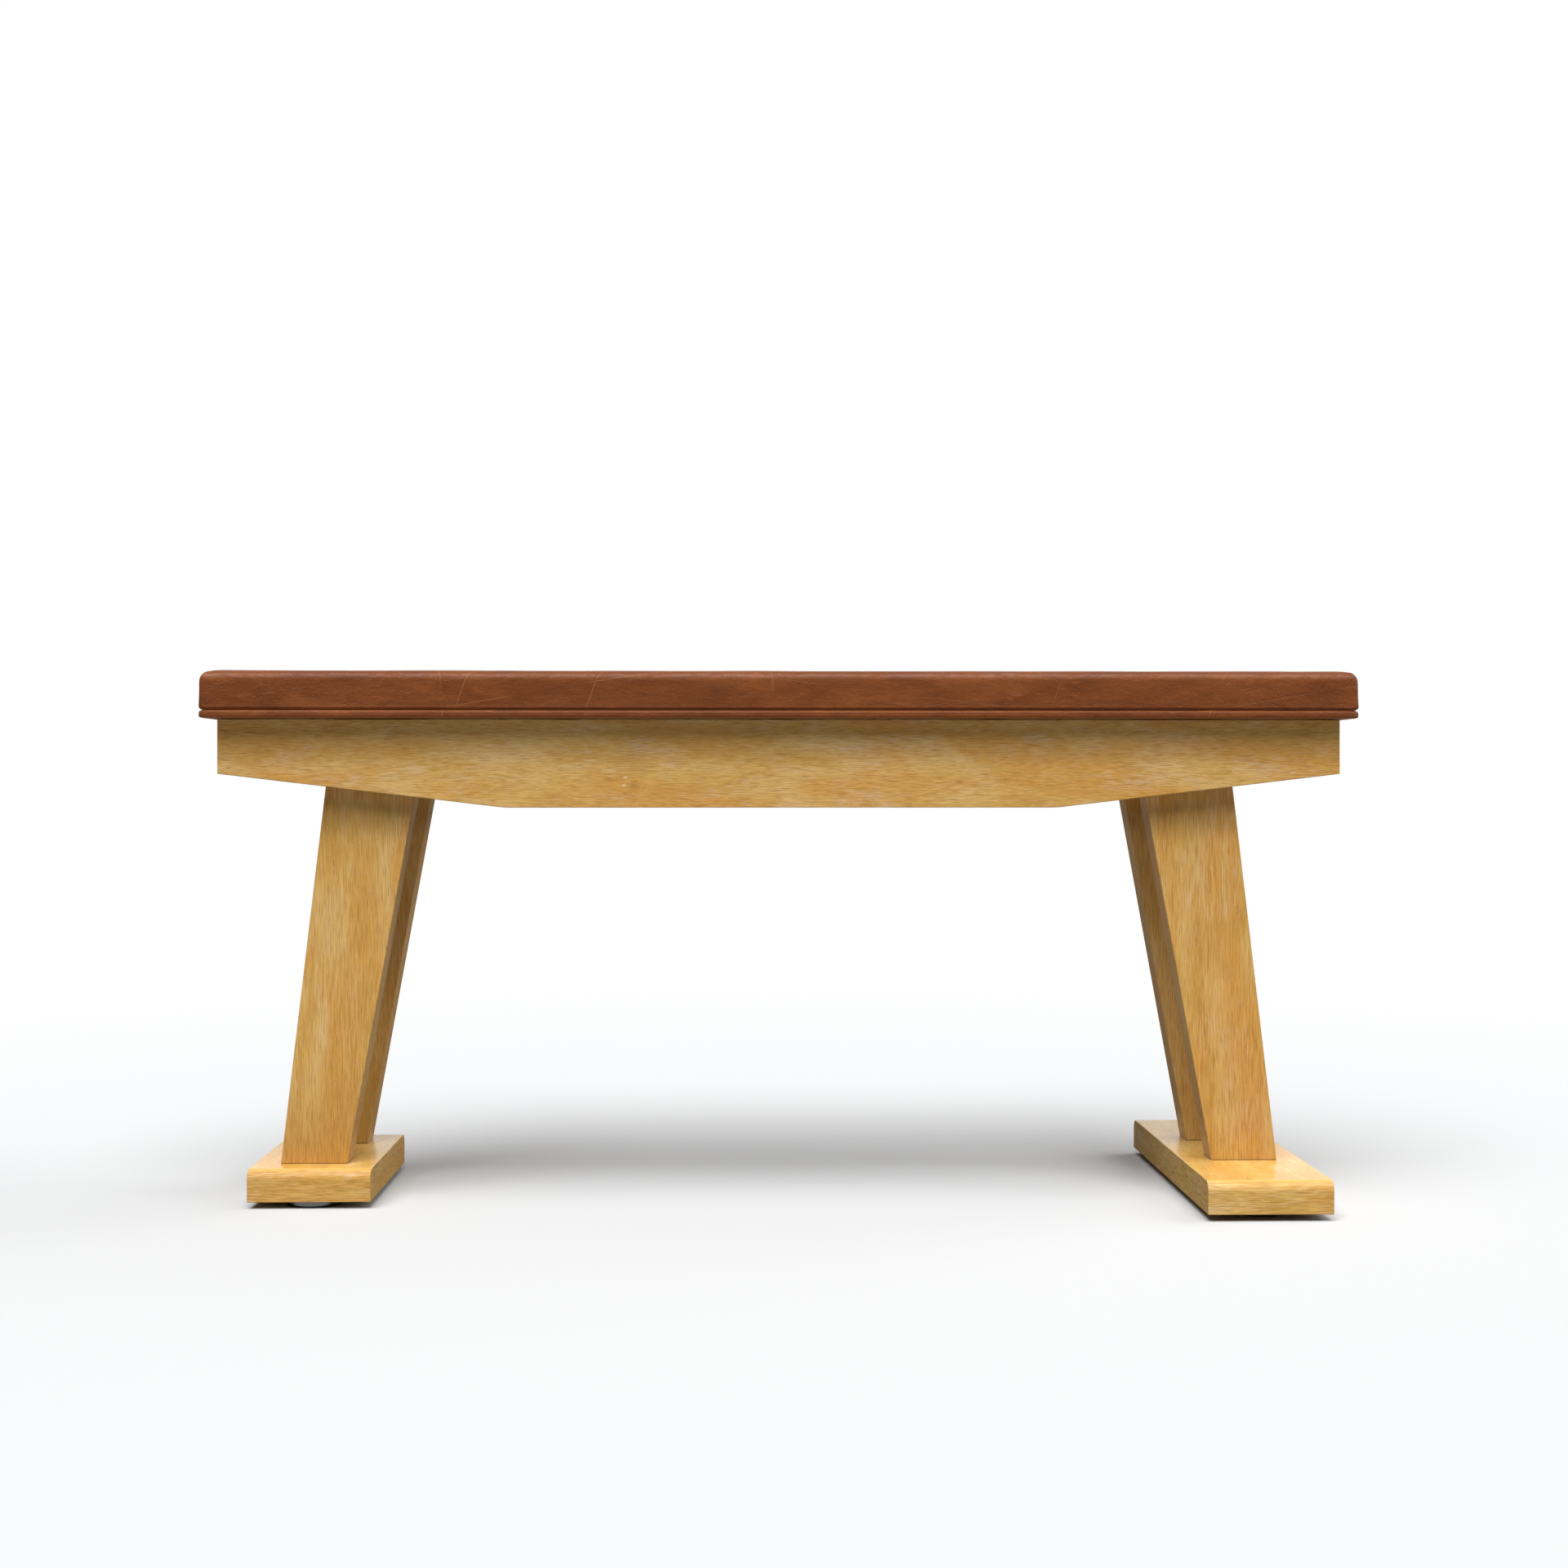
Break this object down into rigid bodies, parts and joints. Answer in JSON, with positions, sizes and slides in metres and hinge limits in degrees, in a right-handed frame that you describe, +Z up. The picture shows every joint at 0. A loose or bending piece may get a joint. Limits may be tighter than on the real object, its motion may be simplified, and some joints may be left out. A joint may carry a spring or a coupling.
{
  "type": "pommel horse",
  "caption": "Low wooden exercise horse: long leather-covered pad on a tapered oak frame, splayed board legs, flat foot boards on round screw-in levelling glides.",
  "frame": {"origin": "on the floor, under the middle of the pad", "axes": "+X along the pad towards the long foot board, +Y to the rear, +Z up"},
  "size_m": [1.6, 0.542, 0.7393],
  "materials": {
    "leather": "satin",
    "foam": "matte",
    "plywood": "matte",
    "oak": "satin",
    "dowel_beech": "matte",
    "bright_disc": "gloss",
    "sole_rubber": "matte",
    "insert_brass": "satin",
    "zinc_steel": "satin"
  },
  "bodies": {
    "bench": {"base_board": "plywood", "base_cover": "leather", "base_screws": "zinc_steel", "base_staples": "zinc_steel", "cross_rail_centre": "oak", "cross_rail_left": "oak", "cross_rail_right": "oak", "end_rail_left": "oak", "end_rail_right": "oak", "foot_dowels": "dowel_beech", "foot_long_right": "oak", "foot_screw_washers": "zinc_steel", "foot_screws": "zinc_steel", "foot_short_left": "oak", "frame_dowels": "dowel_beech", "glide_inserts": "insert_brass", "leg_bolt_inserts": "insert_brass", "leg_bolt_washers": "zinc_steel", "leg_bolts": "zinc_steel", "leg_front_left": "oak", "leg_front_right": "oak", "leg_rear_left": "oak", "leg_rear_right": "oak", "leg_yoke_left": "oak", "leg_yoke_right": "oak", "pad_board": "plywood", "pad_bolt_washers": "zinc_steel", "pad_bolts": "zinc_steel", "pad_cover": "leather", "pad_foam": "foam", "pad_staples": "zinc_steel", "pad_tee_nuts": "zinc_steel", "side_rail_front": "oak", "side_rail_rear": "oak", "yoke_screws": "zinc_steel"},
    "glide_front_left_sole": {"glide_sole_front_left": "sole_rubber"},
    "glide_front_left_screw": {"glide_disc_front_left": "bright_disc", "glide_stud_front_left": "zinc_steel"},
    "glide_rear_left_sole": {"glide_sole_rear_left": "sole_rubber"},
    "glide_rear_left_screw": {"glide_disc_rear_left": "bright_disc", "glide_stud_rear_left": "zinc_steel"},
    "glide_front_right_sole": {"glide_sole_front_right": "sole_rubber"},
    "glide_front_right_screw": {"glide_disc_front_right": "bright_disc", "glide_stud_front_right": "zinc_steel"},
    "glide_rear_right_sole": {"glide_sole_rear_right": "sole_rubber"},
    "glide_rear_right_screw": {"glide_disc_rear_right": "bright_disc", "glide_stud_rear_right": "zinc_steel"}
  },
  "joints": [
    {"name": "glide_front_left_travel", "type": "slide", "parent": "bench", "child": "glide_front_left_sole", "axis": [0, 0, -1], "range_m": [0, 0.012]},
    {"name": "glide_front_left_turn", "type": "hinge", "parent": "glide_front_left_sole", "child": "glide_front_left_screw", "pos_m": [-0.6493, -0.111, 0.0058], "axis": [0, 0, -1], "range_deg": [0, 2880]},
    {"name": "glide_rear_left_travel", "type": "slide", "parent": "bench", "child": "glide_rear_left_sole", "axis": [0, 0, -1], "range_m": [0, 0.012]},
    {"name": "glide_rear_left_turn", "type": "hinge", "parent": "glide_rear_left_sole", "child": "glide_rear_left_screw", "pos_m": [-0.6493, 0.111, 0.0058], "axis": [0, 0, -1], "range_deg": [0, 2880]},
    {"name": "glide_front_right_travel", "type": "slide", "parent": "bench", "child": "glide_front_right_sole", "axis": [0, 0, -1], "range_m": [0, 0.012]},
    {"name": "glide_front_right_turn", "type": "hinge", "parent": "glide_front_right_sole", "child": "glide_front_right_screw", "pos_m": [0.6493, -0.199, 0.0058], "axis": [0, 0, -1], "range_deg": [0, 2880]},
    {"name": "glide_rear_right_travel", "type": "slide", "parent": "bench", "child": "glide_rear_right_sole", "axis": [0, 0, -1], "range_m": [0, 0.012]},
    {"name": "glide_rear_right_turn", "type": "hinge", "parent": "glide_rear_right_sole", "child": "glide_rear_right_screw", "pos_m": [0.6493, 0.199, 0.0058], "axis": [0, 0, -1], "range_deg": [0, 2880]}
  ],
  "couplings": [
    {"joint": "glide_front_left_travel", "follows": "glide_front_left_turn", "m_per_rad": 0.00023873},
    {"joint": "glide_rear_left_travel", "follows": "glide_rear_left_turn", "m_per_rad": 0.00023873},
    {"joint": "glide_front_right_travel", "follows": "glide_front_right_turn", "m_per_rad": 0.00023873},
    {"joint": "glide_rear_right_travel", "follows": "glide_rear_right_turn", "m_per_rad": 0.00023873}
  ]
}
